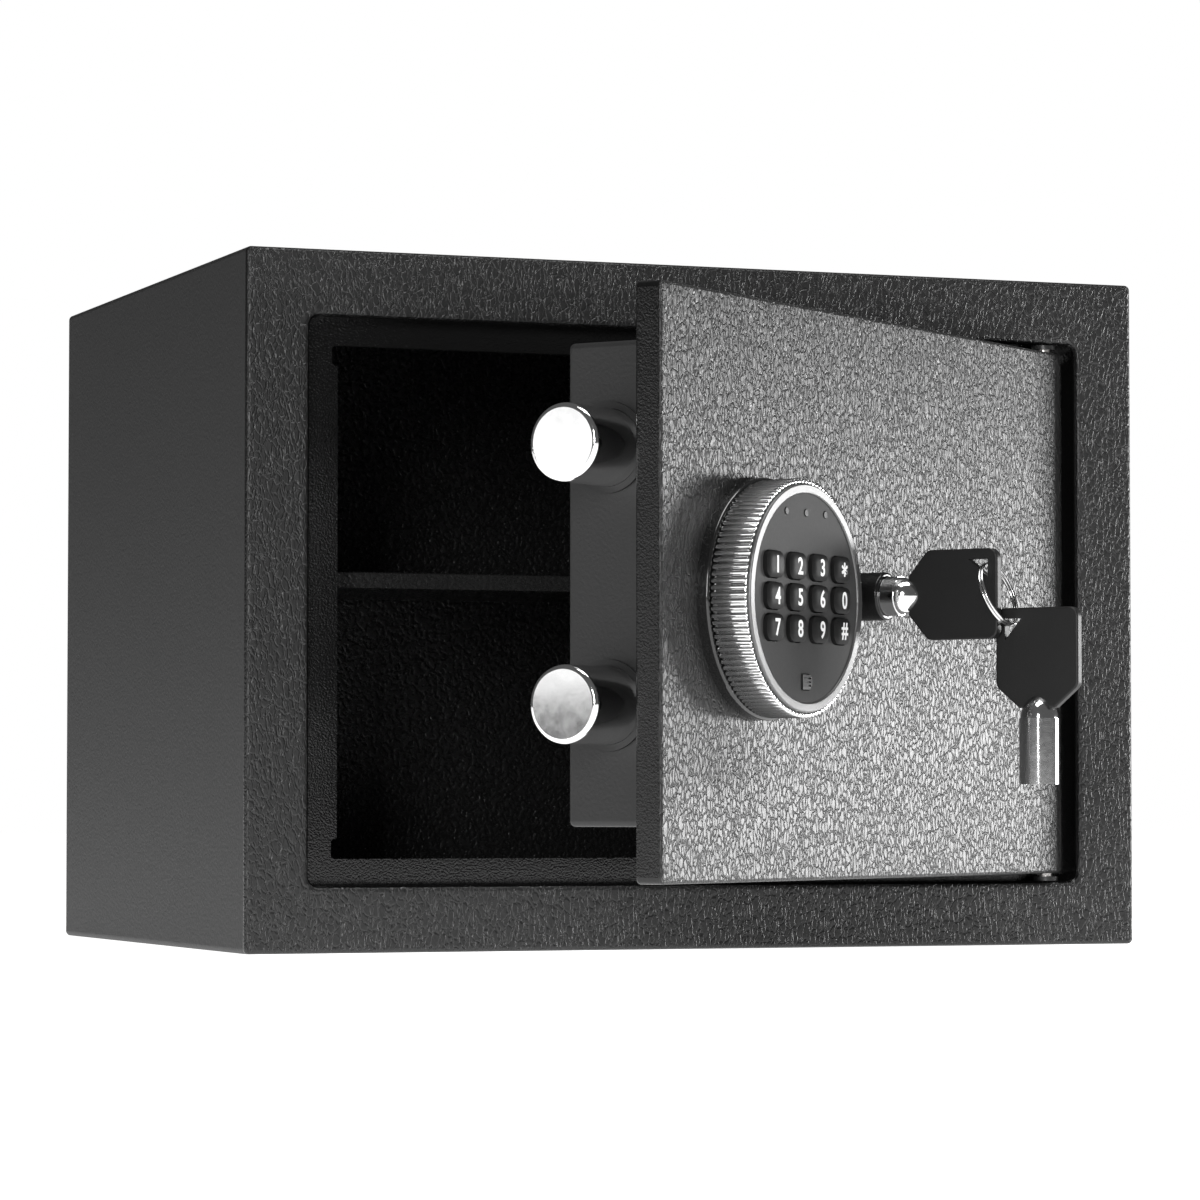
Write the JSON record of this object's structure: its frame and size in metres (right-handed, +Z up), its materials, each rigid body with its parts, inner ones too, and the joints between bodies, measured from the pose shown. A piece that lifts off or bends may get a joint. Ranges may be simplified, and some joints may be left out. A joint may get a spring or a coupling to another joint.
{
  "type": "electronic home safe",
  "caption": "Small steel home safe with a hinged door, a fluted knob around a keypad, sliding lock bolts, a shelf, and an override key with a spare on a ring.",
  "frame": {"origin": "centre of the underside of the body", "axes": "+X to the right seen from the front, +Y from the door to the back, +Z up"},
  "size_m": [0.35, 0.4223, 0.25],
  "materials": {
    "body_paint": "satin powder coat, dark grey",
    "frame_paint": "wrinkle powder coat, charcoal",
    "door_paint": "wrinkle powder coat, charcoal",
    "inner_paint": "smooth satin dark grey paint",
    "shelf_paint": "semi-gloss dark grey paint",
    "felt": "short black felt",
    "bolt_chrome": "polished chrome",
    "knob_chrome": "fluted chrome",
    "bezel_metal": "bright silver",
    "key_metal": "nickel plate",
    "plug_metal": "nickel-plated brass",
    "plated_steel": "zinc plated",
    "screw_steel": "black zinc",
    "base_plastic": "semi-gloss black",
    "bow_plastic": "flat black",
    "keypad_plastic": "satin dark grey",
    "key_plastic": "satin charcoal with white digits",
    "port_plastic": "matte black",
    "lamp_plastic": "clear lens",
    "box_plastic": "matte black",
    "nylon": "natural nylon",
    "reset_plastic": "red",
    "board_green": "solder mask",
    "cable_sheath": "grey sheath",
    "cell_wrap": "plain grey wrap"
  },
  "bodies": {
    "safe_body": {"body_shell": "body_paint", "back_panel": "body_paint", "front_frame": "frame_paint", "hinge_bushes": "nylon", "floor_mat": "felt", "shelf": "shelf_paint", "shelf_supports": "shelf_paint"},
    "door": {"door_pan": "door_paint", "door_back_plate": "inner_paint", "hinge_pins": "plated_steel", "lock_box": "inner_paint", "mounting_posts": "plated_steel", "box_screws": "screw_steel", "bolt_bushes": "box_plastic", "knob_base": "base_plastic", "knob_bush": "nylon", "keypad_post": "plated_steel", "hex_nuts": "plated_steel", "post_bracket": "plated_steel", "keypad_housing": "keypad_plastic", "keypad_face": "keypad_plastic", "bezel_ring": "bezel_metal", "keypad_board": "board_green", "lamp_lenses": "lamp_plastic", "keypad_cable": "cable_sheath", "solenoid": "plated_steel", "circuit_board": "board_green", "battery_tray": "box_plastic", "battery_cells": "cell_wrap", "lock_body": "base_plastic"},
    "knob": {"knob_ring": "knob_chrome", "knob_sleeve": "plated_steel", "crank_disc": "plated_steel"},
    "bolts": {"lock_bolts": "bolt_chrome", "bolt_carriage": "plated_steel", "bolt_screws": "plated_steel"},
    "plunger": {"solenoid_plunger": "plated_steel"},
    "port_cover": {"port_cover": "port_plastic"},
    "reset_button": {"reset_button": "reset_plastic"},
    "battery_cover": {"battery_cover": "box_plastic"},
    "lock_plug": {"lock_plug": "plug_metal", "lock_cam": "plated_steel", "cam_screw": "plated_steel"},
    "override_key": {"override_key_stem": "key_metal", "override_key_bow": "bow_plastic"},
    "key_ring": {"key_ring": "key_metal"},
    "spare_key": {"spare_key_stem": "key_metal", "spare_key_bow": "bow_plastic"},
    "key_1": {"key_1": "key_plastic"},
    "key_2": {"key_2": "key_plastic"},
    "key_3": {"key_3": "key_plastic"},
    "key_star": {"key_star": "key_plastic"},
    "key_4": {"key_4": "key_plastic"},
    "key_5": {"key_5": "key_plastic"},
    "key_6": {"key_6": "key_plastic"},
    "key_0": {"key_0": "key_plastic"},
    "key_7": {"key_7": "key_plastic"},
    "key_8": {"key_8": "key_plastic"},
    "key_9": {"key_9": "key_plastic"},
    "key_hash": {"key_hash": "key_plastic"}
  },
  "joints": [
    {"name": "door_swing", "type": "hinge", "parent": "safe_body", "child": "door", "pos_m": [0.1408, -0.1195, 0.125], "axis": [0, 0, 1], "range_deg": [-37, 73]},
    {"name": "knob_turn", "type": "hinge", "parent": "door", "child": "knob", "pos_m": [-0.0362, -0.25914, 0.1214], "axis": [-0.6018, 0.7986, 0], "range_deg": [0, 90]},
    {"name": "bolt_throw", "type": "slide", "parent": "door", "child": "bolts", "axis": [0.7986, 0.6018, 0], "range_m": [0, 0.0269]},
    {"name": "plunger_drop", "type": "slide", "parent": "door", "child": "plunger", "axis": [-0.6018, 0.7986, 0], "range_m": [-0.005, 0]},
    {"name": "lock_turn", "type": "hinge", "parent": "door", "child": "lock_plug", "pos_m": [0.02186, -0.21539, 0.125], "axis": [-0.6018, 0.7986, 0], "range_deg": [0, 90]},
    {"name": "key_slide", "type": "slide", "parent": "lock_plug", "child": "override_key", "axis": [0.6018, -0.7986, 0], "range_m": [0, 0.03]},
    {"name": "ring_swing", "type": "hinge", "parent": "override_key", "child": "key_ring", "pos_m": [0.05069, -0.25365, 0.135], "axis": [0.7986, 0.6018, 0], "range_deg": [-75, 0]},
    {"name": "spare_key_swing", "type": "hinge", "parent": "key_ring", "child": "spare_key", "pos_m": [0.05949, -0.25703, 0.1145], "axis": [0.7986, 0.6018, 0], "range_deg": [-40, 45]},
    {"name": "reset_press", "type": "slide", "parent": "door", "child": "reset_button", "axis": [0.6018, -0.7986, 0], "range_m": [0, 0.0015], "stiffness_N_per_m": 600},
    {"name": "battery_cover_off", "type": "slide", "parent": "door", "child": "battery_cover", "axis": [-0.6018, 0.7986, 0], "range_m": [0, 0.03]},
    {"name": "port_cover_pull", "type": "slide", "parent": "door", "child": "port_cover", "axis": [0.6018, -0.7986, 0], "range_m": [0, 0.006]},
    {"name": "press_1", "type": "slide", "parent": "door", "child": "key_1", "axis": [-0.6018, 0.7986, 0], "range_m": [0, 0.001], "stiffness_N_per_m": 500},
    {"name": "press_2", "type": "slide", "parent": "door", "child": "key_2", "axis": [-0.6018, 0.7986, 0], "range_m": [0, 0.001], "stiffness_N_per_m": 500},
    {"name": "press_3", "type": "slide", "parent": "door", "child": "key_3", "axis": [-0.6018, 0.7986, 0], "range_m": [0, 0.001], "stiffness_N_per_m": 500},
    {"name": "press_star", "type": "slide", "parent": "door", "child": "key_star", "axis": [-0.6018, 0.7986, 0], "range_m": [0, 0.001], "stiffness_N_per_m": 500},
    {"name": "press_4", "type": "slide", "parent": "door", "child": "key_4", "axis": [-0.6018, 0.7986, 0], "range_m": [0, 0.001], "stiffness_N_per_m": 500},
    {"name": "press_5", "type": "slide", "parent": "door", "child": "key_5", "axis": [-0.6018, 0.7986, 0], "range_m": [0, 0.001], "stiffness_N_per_m": 500},
    {"name": "press_6", "type": "slide", "parent": "door", "child": "key_6", "axis": [-0.6018, 0.7986, 0], "range_m": [0, 0.001], "stiffness_N_per_m": 500},
    {"name": "press_0", "type": "slide", "parent": "door", "child": "key_0", "axis": [-0.6018, 0.7986, 0], "range_m": [0, 0.001], "stiffness_N_per_m": 500},
    {"name": "press_7", "type": "slide", "parent": "door", "child": "key_7", "axis": [-0.6018, 0.7986, 0], "range_m": [0, 0.001], "stiffness_N_per_m": 500},
    {"name": "press_8", "type": "slide", "parent": "door", "child": "key_8", "axis": [-0.6018, 0.7986, 0], "range_m": [0, 0.001], "stiffness_N_per_m": 500},
    {"name": "press_9", "type": "slide", "parent": "door", "child": "key_9", "axis": [-0.6018, 0.7986, 0], "range_m": [0, 0.001], "stiffness_N_per_m": 500},
    {"name": "press_hash", "type": "slide", "parent": "door", "child": "key_hash", "axis": [-0.6018, 0.7986, 0], "range_m": [0, 0.001], "stiffness_N_per_m": 500}
  ],
  "couplings": [
    {"joint": "bolt_throw", "follows": "knob_turn", "m_per_rad": 0.0171}
  ]
}
